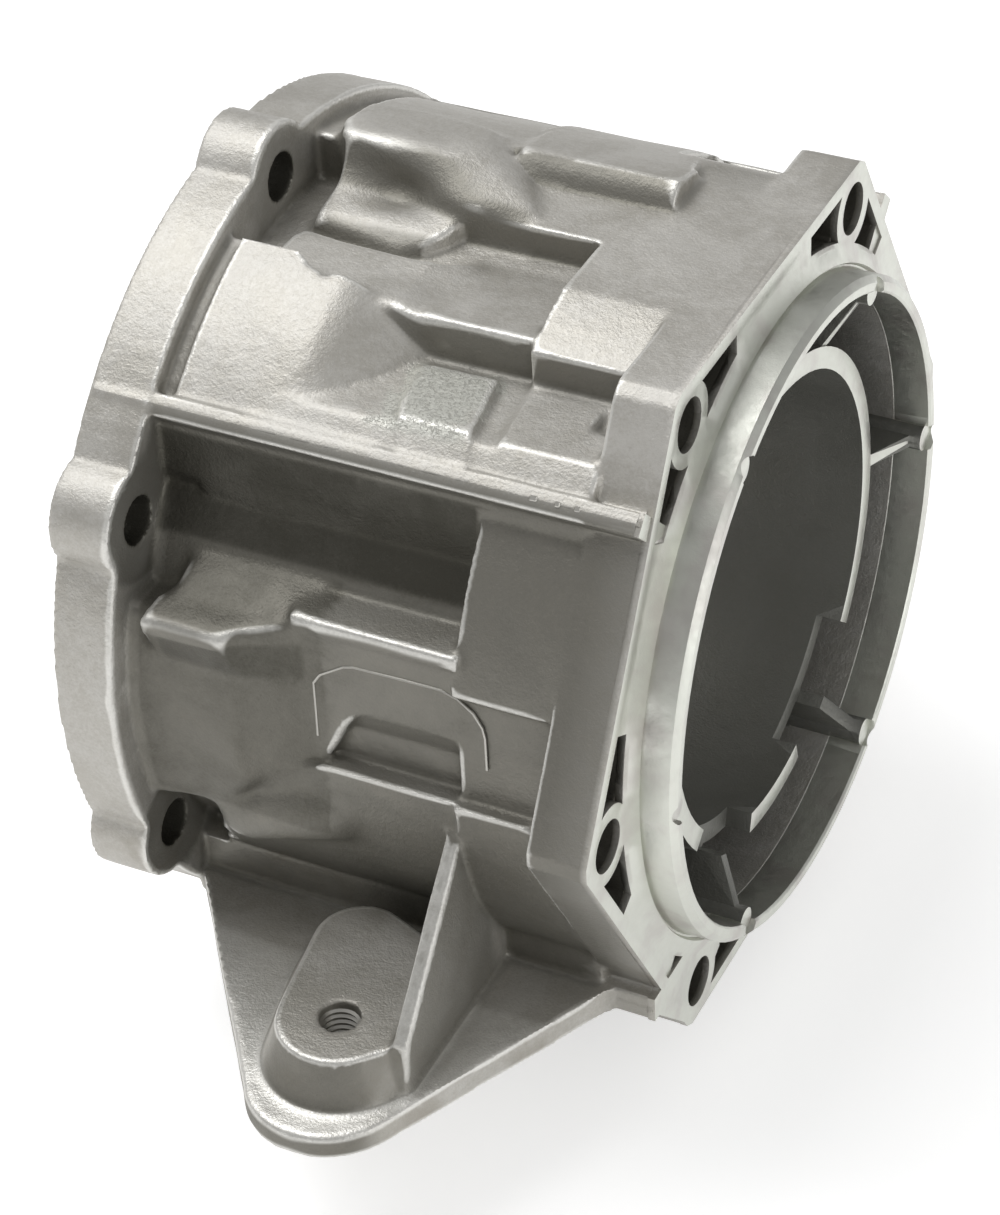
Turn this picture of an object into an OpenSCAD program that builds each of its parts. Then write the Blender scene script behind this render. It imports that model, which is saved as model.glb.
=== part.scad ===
// Extension housing between a gearbox and a transfer case, one aluminium die casting.
// Millimetres. +X runs along the shaft towards the rear pilot ring, +Z is up.
// The origin is the centre of the rear bolt circle, on the flange's mating face.
// Angles round the shaft are counted from +Z towards -Y.

/* [Rear end] */
// Outer radius of the rear pilot ring
pilot_r = 70; // [66:0.5:71]
// Height of the pilot ring above the flange face
pilot_h = 8.75; // [6:0.25:14]
// Wall of the pilot ring
pilot_wall = 3.5; // [2.5:0.25:5]
// Chamfer on the pilot ring's outer edge
pilot_chamfer = 1.3; // [0.5:0.1:2]
// Width of the shoulder round the pilot ring
shoulder_w = 5; // [3:0.5:6]
// Height of the lip round the ring's base
lip_h = 1.8; // [0.5:0.1:3]
// Depth of the groove between lip and ring
groove_h = 0.9; // [0.3:0.1:2]
// Half of the flange's width across its flats
flange_af = 80; // [78:0.5:84]
// Thickness of the rear flange
flange_t = 12.75; // [9:0.25:16]
// Corner radius of the flange outline
flange_round = 6; // [3:0.5:10]
// Radius of the rear bolt circle
rear_bolt_circle = 81.8; // [80:0.1:83]
// Radius of the bolt holes in both ends
bolt_hole_r = 5.5; // [4.5:0.1:6.5]
// Distance of the cored pockets from the flange's edge
pocket_inset = 3; // [2:0.5:4]
// Depth of the cored pockets
pocket_depth = 9.5; // [4:0.5:11]

/* [Inner tube] */
// Bore radius of the inner tube
tube_bore_r = 49; // [40:0.5:51]
// Wall of the inner tube
tube_wall = 4.6; // [3:0.2:6]
// Depth of the annular space round the tube, from the flange face
annulus_depth = 42; // [20:1:60]
// Thickness of the wall that carries the tube
tube_web_t = 6; // [4:0.5:12]
// Thickness of the ribs between tube and ring
rib_t = 3; // [2:0.25:5]
// Depth of the two notches in the tube's rim
notch_depth = 5.6; // [2:0.2:10]

/* [Front end] */
// Distance from the flange face to the front face
front_x = 118.25; // [100:0.25:150]
// Thickness of the front rim
rim_t = 13.4; // [9:0.2:18]
// Radius of the front rim
rim_r = 87.7; // [86:0.1:92]
// Radius of the front bolt circle
front_bolt_circle = 81.2; // [80:0.1:83]
// Radius of the bolt holes in the front ears
ear_hole_r = 5; // [4:0.1:6]
// Outer radius of each bolt ear
ear_r = 11.7; // [9:0.1:14]
// Wall of the front chamber
chamber_wall = 6.25; // [4:0.25:9]
// Angle of the first ear from straight up
ear_start = 4; // [0:0.5:6]
// Angle between neighbouring ears on the two sides
ear_step = 56.8; // [50:0.2:60]

/* [Body] */
// Step from the pilot's radius out to the thin wall in the pockets
skin_step = 3.25; // [1:0.25:4]
// Radius of the collar ahead of the flange
collar_r = 80.5; // [79:0.25:82]
// Radius of the collar's crowned upper side
crown_r = 82.4; // [80.5:0.1:84]
// Height of the collar's flat top
collar_top = 80; // [78:0.25:81]
// Length of the collar ahead of the flange
collar_l = 21.5; // [15:0.5:28]
// Radius of the four parting ribs
parting_r = 87.4; // [84:0.2:88]
// Width of the parting ribs
parting_w = 4.6; // [3:0.2:6]
// Height of the long shelf on the upper side
shelf_z = 74; // [72:0.25:76]
// Height of the deep floor on the upper side
floor_z = 66; // [64:0.25:68]
// Distance of the side panel from the middle
panel_y = 76; // [74:0.25:78]

/* [Mounting feet] */
// Height of the feet's upper surface below the shaft
foot_top = 57; // [50:0.5:60]
// Thickness of the feet
foot_t = 6; // [5:0.5:10]
// Distance of each foot's bolt from the middle
foot_bolt_y = 102; // [95:0.5:110]
// Distance of each foot's bolt from the flange face
foot_bolt_x = 50.6; // [45:0.5:60]
// Radius of the threaded hole's core
foot_hole_r = 4.25; // [3:0.05:5.5]
// Height of the bolt boss above the foot
boss_h = 11; // [6:0.5:16]
// Radius of the rounded tip of each foot
foot_tip_r = 17.4; // [14:0.2:22]
// Thickness of the upright web on each foot
web_t = 3.2; // [2:0.2:6]

/* [Hidden] */
$fn = 96;
eps = 0.02;
big = 400;
tube_r = tube_bore_r + tube_wall;
ring_in_r = pilot_r - pilot_wall;
rim_x = -front_x + rim_t;
collar_x = -flange_t - collar_l;
web_x = collar_x - 1;
joint_y = 62.4;
joint_top = foot_top - 8.5;
flash_h = 0.45;
corner_r = flange_af / cos(30);
shoulder_r = pilot_r + shoulder_w;
skin_r = pilot_r + skin_step;
chamber_r = skin_r - chamber_wall;
head_room_r = bolt_hole_r + 4;
ear_room_r = ear_r + 1.5;
ear_room_l = 9;
casting = [0.70, 0.69, 0.66];

// A solid cylinder along the shaft, from x0 to x1.
module bar_x(x0, x1, r) {
    translate([x0, 0, 0])
        rotate([0, 90, 0])
            cylinder(h = x1 - x0, r = r);
}

// A tube along the shaft.
module ring_x(x0, x1, ro, ri) {
    difference() {
        bar_x(x0, x1, ro);
        bar_x(x0 - 1, x1 + 1, ri);
    }
}

// An outline in Y and Z, drawn out from x0 to x1.
module across(x0, x1, pts) {
    translate([x0, 0, 0])
        rotate([90, 0, 90])
            linear_extrude(x1 - x0)
                polygon(pts);
}

// An outline in X and Z, drawn out from y0 towards -Y as far as y1.
module sideways(y0, y1, pts) {
    translate([0, y0, 0])
        rotate([90, 0, 0])
            linear_extrude(y0 - y1)
                polygon(pts);
}

// A box given by its two corners.
module block(a, b) {
    translate(a)
        cube(b - a);
}

// Turns its children round the shaft, from +Z towards -Y.
module turned(angle) {
    rotate([angle, 0, 0])
        children();
}

// A raised patch with walls along the die's pull, cut off at a radius.
module clipped(r) {
    intersection() {
        children();
        bar_x(-front_x, 0, r);
    }
}

// The hexagon of the rear flange with rounded corners.
module flange_plate(x0, x1, half_width, corner) {
    intersection() {
        across(x0, x1, [for (k = [0:5]) half_width / cos(30) * [sin(k * 60 + 30), cos(k * 60 + 30)]]);
        bar_x(x0, x1, corner);
    }
}

// The six pairs of cored pockets in the flange face.
module flange_pockets() {
    strip = 18.5;
    for (k = [0:5])
        turned(k * 60)
            for (s = [-1, 1])
                difference() {
                    intersection() {
                        across(-pocket_depth, 1, [
                            [s * strip, pilot_r], [s * 34, flange_af - 14],
                            [s * 45.5, flange_af - pocket_inset], [s * strip, flange_af - pocket_inset]
                        ]);
                        ring_x(-pocket_depth, 1, corner_r, pilot_r + 4.3);
                    }
                    turned(-s * 30)
                        translate([-pocket_depth - 1, 0, rear_bolt_circle])
                            rotate([0, 90, 0])
                                cylinder(h = pocket_depth + 3, r = bolt_hole_r + 3.1);
                }
}

// The pilot ring with its shoulder, turned about the shaft.
module pilot_ring() {
    rotate([0, 90, 0])
        rotate_extrude()
            polygon([
                [ring_in_r, -annulus_depth - 1], [skin_r, -annulus_depth - 1], [skin_r, -flange_t],
                [shoulder_r, -flange_t], [shoulder_r, 0], [pilot_r + 1.2, lip_h],
                [pilot_r + 0.7, lip_h - groove_h], [pilot_r + 0.3, lip_h - groove_h], [pilot_r, lip_h + 0.1],
                [pilot_r, pilot_h - pilot_chamfer], [pilot_r - pilot_chamfer, pilot_h],
                [ring_in_r + 0.5, pilot_h], [ring_in_r, pilot_h - 0.5]
            ]);
}

// The inner tube, its carrying wall and the ribs out to the ring.
module inner_tube() {
    ring_x(-annulus_depth - tube_web_t, 0, tube_r, tube_bore_r);
    ring_x(-annulus_depth - tube_web_t, -annulus_depth, skin_r - 1, tube_bore_r);
    for (k = [0:5])
        turned(30 + 60 * k) {
            intersection() {
                sideways(rib_t / 2, -rib_t / 2, [
                    [-annulus_depth - 1, tube_r - 2], [-0.4, tube_r - 2], [-0.4, tube_r],
                    [5, ring_in_r - 2.5], [6.2, ring_in_r + 1], [-annulus_depth - 1, ring_in_r + 1]
                ]);
                ring_x(-annulus_depth - 2, pilot_h, ring_in_r + 1, tube_bore_r + 1);
            }
            intersection() {
                translate([-annulus_depth - 1, 0, ring_in_r])
                    rotate([0, 90, 0])
                        cylinder(h = annulus_depth + 1 + 7.6, r = 3, $fn = 32);
                bar_x(-annulus_depth - 2, pilot_h, ring_in_r + 1);
            }
        }
}

// The two notches in the tube's rim, each centred on a rib.
module tube_notches() {
    for (a = [148, 212])
        turned(a)
            intersection() {
                ring_x(-notch_depth, 1, tube_r + 0.6, tube_bore_r - 3);
                across(-notch_depth, 1, [
                    [0, 0], [-sin(17.5) * 90, cos(17.5) * 90], [sin(17.5) * 90, cos(17.5) * 90]
                ]);
            }
}

// Angle of each front ear: one near the top, two on each side and one at the bottom.
function ear_angle(i) =
    i < 3 ? ear_start + i * ear_step : i == 3 ? 180 : -ear_start - (6 - i) * ear_step;

// The front rim with its six bolt ears.
module front_rim() {
    translate([-front_x, 0, 0])
        rotate([90, 0, 90])
            linear_extrude(rim_t)
                union() {
                    circle(rim_r);
                    for (i = [0:5])
                        rotate(ear_angle(i))
                            translate([0, front_bolt_circle])
                                circle(ear_r, $fn = 48);
                }
}

// The four ribs where the die's slides met, and the small flash line on each.
module parting_ribs() {
    for (a = [45, 135, 225, 315])
        turned(a) {
            intersection() {
                block([rim_x - 4, -parting_w / 2, skin_r - 2], [-0.5, parting_w / 2, parting_r + 2]);
                bar_x(-front_x, 0, parting_r);
            }
            block([rim_x - 2, -0.35, parting_r - 2], [-1, 0.35, parting_r + 0.35]);
            block([-front_x + 0.8, -0.6, rim_r - 2], [rim_x, 0.6, rim_r + flash_h]);
        }
}

// A drafted pad in the upper side: an outline in X and Y, up to z1, cut off at a radius.
module top_pad(z1, r, pts) {
    clipped(r)
        linear_extrude(z1)
            polygon(pts);
}

// The upper side: collar, terrace, deep floor, humps and the bar on top.
module upper_side() {
    step_y = -2.6;
    edge_y = -32.8;
    rear = collar_x - 1.2;
    hump_x = -76;
    hill_z = 86.6;
    foot_x = -58.5;
    // crowned collar, with a softer fall towards the parting rib
    intersection() {
        bar_x(rear, 0, crown_r);
        block([rear, -35, 0], [-flange_t + 1, 0, collar_top]);
    }
    // ground beyond the first step, up to the far half
    top_pad(collar_top, parting_r - 0.8, [[-64, step_y], [-flange_t + 1, step_y], [-flange_t + 1, 35], [-40, 35], [-40, 60.5], [-64, 60.5]]);
    // terrace that rises a little towards its edge
    clipped(crown_r)
        across(-60, rear + 1, [[0, 0], [0, shelf_z - 1.8], [step_y, shelf_z - 1.8], [edge_y, shelf_z + 1.6], [edge_y, 0]]);
    intersection() {
        sideways(-8, edge_y, [[-96, 0], [-96, shelf_z + 2.6], [-66, shelf_z + 2.2], [-58, shelf_z], [-58, 0]]);
        linear_extrude(100)
            polygon([[-97, -13.6], [-84.3, -15.6], [-68.8, -15.4], [-64.9, -14.6], [-60, -11], [-57, -9.6], [-57, -34], [-97, -34]]);
        bar_x(-front_x, 0, crown_r);
    }
    clipped(crown_r)
        sideways(0, -15, [[-98, 0], [-98, shelf_z - 1.6], [-60, shelf_z - 1.6], [-60, 0]]);
    // wall between terrace and deep floor, with a slanted front end
    clipped(crown_r)
        sideways(edge_y + 3, edge_y, [[-98, 0], [-98, shelf_z + 2], [-65.3, shelf_z + 1.6], [foot_x, floor_z], [foot_x, 0]]);
    // deep floor between the terrace and the parting rib
    clipped(parting_r - 1.2)
        block([-80, -60.5, 0], [-flange_t + 1, edge_y + 6, floor_z]);
    // slope from the front hump down to the deep floor
    intersection() {
        rotate([0, 90, 0])
            rotate_extrude()
                polygon([
                    [0, -80], [parting_r - 1.4, -80], [parting_r - 1.6, hump_x], [parting_r - 3, -72.4], [parting_r - 6.4, -67.4],
                    [parting_r - 10.4, -62.4], [skin_r + 1, foot_x], [0, foot_x]
                ]);
        block([-81, -60.5, 0], [foot_x + 1, edge_y + 2, 100]);
    }
    // low patch and bright flat on the deep floor
    top_pad(floor_z + 1.5, parting_r - 0.8, [[-58.8, -36.4], [-41.8, -36.4], [-37.6, -60.5], [-52, -60.5], [-56, -50]]);
    top_pad(floor_z + 1, parting_r - 1, [[rear, -33], [-flange_t, -33], [-flange_t, -60.5], [rear + 3, -60.5]]);
    // front hump beside the first ear
    top_pad(100, parting_r - 1.4, [[-101, -28.8], [-88, -28.8], [-82, -31.4], [-78, -35.4], [hump_x, -43], [-77, -49], [-80, -60.5], [-101, -60.5]]);
    // lower band between rim and body
    clipped(parting_r - 3.6)
        block([rim_x - 1, -60.5, 0], [-100, -27, 100]);
    clipped(parting_r - 3.6)
        block([rim_x - 1, 9, 0], [-92, 60.5, 100]);
    // bulge on top, sloping down towards the flange
    clipped(parting_r)
        hull() {
            linear_extrude(hill_z)
                polygon([[-99, 11], [-92, 6.2], [-78, 6.8], [-73.4, 5.6], [-70, 8], [-69, 14], [-72, 20], [-81, 22], [-99, 22]]);
            linear_extrude(hill_z - 2)
                polygon([
                    [-99, 10], [-92, 5], [-78, 5.4], [-71.6, 3.8], [-64.5, 4.4], [-62.6, 7], [-65.5, 15], [-70, 21.6],
                    [-81, 23.6], [-99, 23.4]
                ]);
            linear_extrude(hill_z - 4.6)
                polygon([
                    [-99, 9], [-92, 3.4], [-78, 3.6], [-69.6, 1.6], [-63, -1.6], [-57, 0], [-53.2, 2.6], [-55, 6.6],
                    [-60, 12.2], [-65, 17.4], [-71, 23], [-81, 25], [-99, 24.6]
                ]);
            linear_extrude(collar_top + 0.7)
                polygon([
                    [-99, 9], [-92, 3], [-70, -1], [-66, step_y], [-61.9, step_y], [-50.4, 0],
                    [-53.6, 6.4], [-59, 12.6], [-63.4, 17.4], [-66, 23], [-81, 25.5], [-99, 25]
                ]);
        }
    // ground behind the hill, as high as the bar
    top_pad(100, parting_r - 1.7, [[-100.5, 60.5], [-100.5, 18], [-62, 18], [-62, 60.5]]);
    // scooped ground in front of the bulge
    intersection() {
        across(-97.5, -60, [
            [14, 0], [14, 86.6], [6.2, 86.4], [3, 81.6], [0.4, 79.4], [-3, 78.2], [-8.4, shelf_z + 2.8],
            [-12.4, shelf_z + 0.2], [-12.4, 0]
        ]);
        linear_extrude(100)
            polygon([
                [-97.5, 14], [-97.5, -10.4], [-87.8, -11], [-75.7, -12.4], [-70.9, -11], [-67.6, -7.6],
                [-65.4, -2.8], [-70, 4.6], [-72, 14]
            ]);
    }
    // raised bar along the far upper corner
    top_pad(100, parting_r - 0.8, [[-64, 60.5], [-62, 19], [-26.5, 19], [-36, 60.5]]);
    clipped(parting_r - 0.8)
        translate([-62, 19.5, 78.2])
            rotate([0, 90, 0])
                cylinder(h = 35.2, r = 7.2);
}

// The near side: collar, panel, long ribs, hump and lower body.
module near_side() {
    rib_hi = 31;
    rib_lo = -5;
    soft_r = parting_r - 5.4;
    // collar, round above and flat below
    clipped(collar_r)
        block([collar_x, -100, 22], [-flange_t + 1, 0, 62]);
    clipped(collar_r + 2)
        block([collar_x, -panel_y + 0.4, -7], [-flange_t + 1, 0, 23]);
    clipped(collar_r - 1)
        block([collar_x, -100, -62], [-flange_t + 1, 0, -4]);
    // panel with a recess under it
    difference() {
        clipped(collar_r + 2)
            sideways(0, -panel_y, [
                [-72, 18], [-66, 28.4], [collar_x + 1, 28.4], [collar_x + 1, rib_lo - 2], [-66, rib_lo - 2], [-74, 0]
            ]);
        intersection() {
            sideways(-60, -100, [
                [-64.5, rib_lo], [-61, 1], [-58.6, 6], [-56, 9.5], [-52, 11.4], [collar_x, 9.8], [collar_x, rib_lo]
            ]);
            across(-66, collar_x, [
                [-panel_y - 3, 13], [-panel_y + 0.1, 10.4], [-panel_y + 2.4, 5.4], [-panel_y + 5.2, 1.2],
                [-panel_y + 6.6, -1.6], [-panel_y + 6.8, rib_lo - 0.01], [-panel_y - 3, rib_lo - 0.01]
            ]);
        }
    }
    // upper and lower long ribs
    clipped(collar_r + 3)
        sideways(0, -panel_y - 0.6, [[-68, 28], [collar_x + 1, 28], [collar_x + 1, rib_hi], [-70, rib_hi]]);
    clipped(collar_r + 3)
        sideways(0, -panel_y - 0.6, [
            [-66.5, rib_lo], [-66, rib_lo - 2.8], [collar_x + 1, rib_lo - 2.8], [collar_x + 1, rib_lo]
        ]);
    clipped(collar_r)
        sideways(0, -panel_y + 0.4, [[-53, -10.4], [-53, -12.6], [collar_x + 1, -12.6], [collar_x + 1, -10.4]]);
    // smooth body behind the rim, fading into the panel
    clipped(soft_r)
        intersection() {
            linear_extrude(100, center = true)
                polygon([
                    [rim_x - 1, 0], [rim_x - 1, -90], [-86, -90], [-80, -80.4], [-66, -panel_y], [-66, 0]
                ]);
            sideways(0, -100, [
                [rim_x - 1, 24], [-66, 28], [-64, -3], [-75.5, -10], [-82, -15.6], [-88, -21], [-94.6, -23.1], [rim_x - 1, -24]
            ]);
        }
    // hump beside the second ear
    intersection() {
        across(-104, -64, [
            [-60, 33], [-66, 32.2], [-82.6, 26.6], [-83.8, 25.2], [-83, 22], [-80, 14], [-60, 10]
        ]);
        linear_extrude(100, center = true)
            polygon([
                [-96, -60], [-96.8, -70], [-100, -84.4], [-82, -84.4], [-79, -81], [-66, -75.6], [-66, -60]
            ]);
    }
    // lower body down to the foot
    clipped(collar_r - 2.2)
        sideways(0, -100, [
            [-91, -22], [-82, -14], [-64, -4], [collar_x + 1, -4], [collar_x + 1, -62], [-100, -62], [-98, -42]
        ]);
    // upright lower wall down to the foot
    block([rim_x - 1, -joint_y, -foot_top - 1], [-flange_t + 1, 0, -joint_top]);
    // soft swelling below the smooth body
    translate([-84, -71.6, -24.5])
        rotate([0, 72, 0]) {
            cylinder(h = 20, r = 8.4);
            sphere(8.4);
            translate([0, 0, 20])
                sphere(8.4);
        }
}

// The plain far side: two long ribs and the collar.
module far_side() {
    clipped(collar_r)
        block([collar_x, -60, -100], [-flange_t + 1, 100, 60]);
    // upright lower wall down to the foot
    block([rim_x - 1, 0, -foot_top - 1], [-flange_t + 1, joint_y, -joint_top]);
    for (z = [28.7, -6.5])
        clipped(collar_r)
            block([rim_x + 16, 0, z - 1.7], [collar_x + 1, panel_y + 0.8, z + 1.7]);
    for (a = [165, 195])
        turned(a)
            block([rim_x - 1, -1.7, skin_r - 3], [collar_x + 1, 1.7, collar_r - 1.5]);
}

// One foot with its boss and upright web, on the near side.
module foot() {
    tip_y = foot_bolt_y + 6;
    bolt_x = -foot_bolt_x;
    // plate with a rounded tip
    translate([0, 0, -foot_top - foot_t])
        linear_extrude(foot_t)
            polygon([
                [rim_x - 1, 0], [rim_x - 1, -64], [-104.3, -64.6], [bolt_x - foot_tip_r * 0.87, -tip_y - foot_tip_r * 0.49],
                [bolt_x + foot_tip_r * 0.894, -tip_y - foot_tip_r * 0.449], [-10.5, -65], [-9, -62.8],
                [0, -62.8], [0, -40], [-flange_t, -40], [-flange_t, 0]
            ]);
    translate([bolt_x, -tip_y, -foot_top - foot_t])
        cylinder(h = foot_t, r = foot_tip_r);
    // sloping end of the plate under the flange
    across(-flange_t, 0, [
        [-30, -foot_top], [-61.2, -foot_top], [-62.8, -foot_top - 3.8], [-45.7, -78.9], [-30, -70]
    ]);
    // bolt boss, running back into the body
    hull() {
        translate([bolt_x, -foot_bolt_y, -foot_top - 1])
            cylinder(h = boss_h + 1, r1 = 16.8, r2 = 12.9, $fn = 32);
        translate([bolt_x - 7, -80, -foot_top - 1])
            cylinder(h = boss_h + 1, r1 = 14.8, r2 = 9.5, $fn = 32);
        translate([web_x - 8, -84, -foot_top - 1])
            cylinder(h = boss_h + 1, r1 = 10, r2 = 8, $fn = 32);
        translate([web_x - 4, -foot_bolt_y - 2.4, -foot_top - 1])
            cylinder(h = boss_h + 1, r1 = 5.4, r2 = 3, $fn = 24);
    }
    // upright web from the body down to the boss
    across(web_x - web_t / 2, web_x + web_t / 2, [
        [-60, -8], [-76, -9.5], [-foot_bolt_y - 4, -foot_top + boss_h + 1], [-foot_bolt_y - 5.4, -foot_top - 1], [-50, -foot_top - 1]
    ]);
}

// Everything that is cut away from the outside.
module outside_cuts() {
    // room for the bolt heads behind the ears
    difference() {
        for (i = [0:5])
            turned(ear_angle(i))
                translate([rim_x, 0, front_bolt_circle + 2])
                    rotate([0, 90, 0])
                        cylinder(h = ear_room_l, r = ear_room_r, $fn = 48);
        bar_x(rim_x - 1, rim_x + ear_room_l + 1, skin_r);
    }
    // room for the bolt heads ahead of the rear flange, on the sides with a full collar
    for (a = [-150, -90, -30, 150])
        turned(a)
            translate([collar_x - 1, 0, rear_bolt_circle])
                rotate([0, 90, 0])
                    cylinder(h = collar_l + 0.6, r = head_room_r, $fn = 48);
}

// All bores and bolt holes.
module bores() {
    bar_x(-front_x - 1, pilot_h + 1, tube_bore_r);
    bar_x(-front_x - 1, -annulus_depth - tube_web_t, chamber_r);
    for (k = [0:5])
        turned(30 + 60 * k)
            translate([-flange_t - 6, 0, rear_bolt_circle])
                rotate([0, 90, 0])
                    cylinder(h = flange_t + 8, r = bolt_hole_r, $fn = 48);
    for (i = [0:5])
        turned(ear_angle(i))
            translate([-front_x - 1, 0, front_bolt_circle])
                rotate([0, 90, 0])
                    cylinder(h = rim_t + 2, r = ear_hole_r, $fn = 48);
    for (s = [-1, 1])
        translate([-foot_bolt_x, s * foot_bolt_y, -foot_top - foot_t - 1])
            cylinder(h = foot_t + boss_h + 2, r = foot_hole_r, $fn = 48);
}

// The whole casting.
module housing() {
    color(casting)
        difference() {
            union() {
                difference() {
                    union() {
                        bar_x(-front_x + 1, -annulus_depth - 1, skin_r);
                        upper_side();
                        near_side();
                        far_side();
                        foot();
                        mirror([0, 1, 0])
                            foot();
                    }
                    outside_cuts();
                    bar_x(-annulus_depth, 1, ring_in_r);
                }
                front_rim();
                parting_ribs();
                difference() {
                    flange_plate(-flange_t, 0, flange_af, corner_r - flange_round * 0.155);
                    bar_x(-flange_t - 1, 1, pilot_r);
                    flange_pockets();
                }
                pilot_ring();
                inner_tube();
            }
            tube_notches();
            bores();
        }
}

housing();
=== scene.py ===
import logging
import math
from dataclasses import dataclass, field

import bpy
import numpy as np
from mathutils import Euler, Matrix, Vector
from mathutils.kdtree import KDTree


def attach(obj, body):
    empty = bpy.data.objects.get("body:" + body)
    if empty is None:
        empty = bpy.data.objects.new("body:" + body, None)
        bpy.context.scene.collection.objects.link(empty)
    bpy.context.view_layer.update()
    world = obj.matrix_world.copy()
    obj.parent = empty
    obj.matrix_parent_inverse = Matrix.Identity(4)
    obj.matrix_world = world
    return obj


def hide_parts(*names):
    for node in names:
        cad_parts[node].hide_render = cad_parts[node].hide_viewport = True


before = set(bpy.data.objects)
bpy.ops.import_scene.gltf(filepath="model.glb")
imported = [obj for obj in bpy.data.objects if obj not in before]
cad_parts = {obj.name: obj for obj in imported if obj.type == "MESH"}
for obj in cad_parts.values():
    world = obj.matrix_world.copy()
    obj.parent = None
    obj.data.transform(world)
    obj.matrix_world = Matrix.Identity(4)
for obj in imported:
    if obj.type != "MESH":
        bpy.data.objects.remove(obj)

LOG = logging.getLogger("housing")
MM = 0.001
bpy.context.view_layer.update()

# The pilot ring's face begins at this radius.
RING_INNER = 66.5 * MM
# The ears of the front rim, in degrees from the top towards the near side.
EAR_ANGLES = (4.0, 60.8, 117.6, 180.0, -117.6, -60.8)
TOP_EAR_ANGLE = EAR_ANGLES[0]
# The corners of the flange, counted the same way.
CORNER_ANGLES = tuple(30 + 60 * k for k in range(6))
# Bolt circles of the ears and of the flange, and the place of a foot's hole, in millimetres.
EAR_CIRCLE = 81.2
FLANGE_CIRCLE = 81.8
FOOT_HOLE = (-50.6, 102.0)


def select_none() -> None:
    """Leaves object mode and deselects everything."""
    if bpy.context.object and bpy.context.object.mode != "OBJECT":
        bpy.ops.object.mode_set(mode="OBJECT")
    bpy.ops.object.select_all(action="DESELECT")


def select_only(obj: bpy.types.Object) -> bpy.types.Object:
    """Deselects everything, then makes one object selected and active.

    Args:
        obj: The object to work on.

    Returns:
        The same object.
    """
    select_none()
    obj.select_set(True)
    bpy.context.view_layer.objects.active = obj
    return obj


def clear_mesh_selection() -> None:
    """Deselects every vertex, edge and face of the active mesh."""
    bpy.ops.object.mode_set(mode="EDIT")
    bpy.ops.mesh.select_all(action="DESELECT")
    bpy.ops.object.mode_set(mode="OBJECT")


def add_object(name: str, data: bpy.types.ID) -> bpy.types.Object:
    """Makes an object from its data and puts it in the scene.

    Args:
        name: The object's name.
        data: Its mesh, camera or lamp.

    Returns:
        The new object.
    """
    obj = bpy.data.objects.new(name, data)
    bpy.context.scene.collection.objects.link(obj)
    return obj


def apply(obj: bpy.types.Object, kind: str, **settings: object) -> None:
    """Adds a modifier, sets it up and applies it.

    Args:
        obj: The mesh object.
        kind: The modifier's type.
        settings: Its values by name.
    """
    select_only(obj)
    modifier = obj.modifiers.new(kind.lower(), kind)
    for name, value in settings.items():
        setattr(modifier, name, value)
    bpy.ops.object.modifier_apply(modifier=modifier.name)


def bake_place(obj: bpy.types.Object) -> None:
    """Puts an object's place, turn and scale into its mesh."""
    select_only(obj)
    bpy.ops.object.transform_apply(location=True, rotation=True, scale=True)


def points_of(obj: bpy.types.Object) -> np.ndarray:
    """Reads the vertex positions of a mesh object.

    Args:
        obj: The mesh object.

    Returns:
        Positions in metres, n by 3.
    """
    flat = np.empty(len(obj.data.vertices) * 3, np.float32)
    obj.data.vertices.foreach_get("co", flat)
    return flat.reshape(-1, 3).astype(float)


def set_points(obj: bpy.types.Object, points: np.ndarray) -> None:
    """Writes vertex positions back into a mesh object."""
    obj.data.vertices.foreach_set("co", points.astype(np.float32).ravel())
    obj.data.update()


def normals_of(obj: bpy.types.Object) -> np.ndarray:
    """Reads the vertex normals of a mesh object.

    Args:
        obj: The mesh object.

    Returns:
        Normals of length one, n by 3.
    """
    flat = np.empty(len(obj.data.vertices) * 3, np.float32)
    obj.data.vertices.foreach_get("normal", flat)
    return flat.reshape(-1, 3).astype(float)


def neighbour_mean(obj: bpy.types.Object, values: np.ndarray) -> np.ndarray:
    """The mean of a value over each vertex's neighbours.

    Args:
        obj: The mesh object.
        values: One row for each vertex.

    Returns:
        An array of the same shape.
    """
    edges = np.empty(len(obj.data.edges) * 2, np.int32)
    obj.data.edges.foreach_get("vertices", edges)
    a, b = edges.reshape(-1, 2).T
    size = len(values)
    count = np.bincount(a, minlength=size) + np.bincount(b, minlength=size)
    out = np.empty_like(values)
    for k in range(values.shape[1]):
        total = np.bincount(a, values[b, k], size) + np.bincount(b, values[a, k], size)
        out[:, k] = total / np.maximum(count, 1)
    return out


def add_group(obj: bpy.types.Object, name: str, weights: np.ndarray, steps: int = 20) -> None:
    """Gives a mesh a vertex group whose weights are rounded to a few steps.

    Args:
        obj: The mesh object.
        name: The group's name.
        weights: One weight from 0 to 1 for each vertex.
        steps: How many levels the weights are rounded to.
    """
    group = obj.vertex_groups.new(name=name)
    level = np.rint(np.clip(weights, 0, 1) * steps).astype(int)
    for k in range(1, steps + 1):
        chosen = np.nonzero(level == k)[0]
        if len(chosen):
            group.add(chosen.tolist(), k / steps, "REPLACE")


def smooth_step(low: float, high: float, value: np.ndarray) -> np.ndarray:
    """A soft step from 0 at low to 1 at high, also where low is the larger number."""
    t = np.clip((value - low) / (high - low), 0, 1)
    return t * t * (3 - 2 * t)


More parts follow.
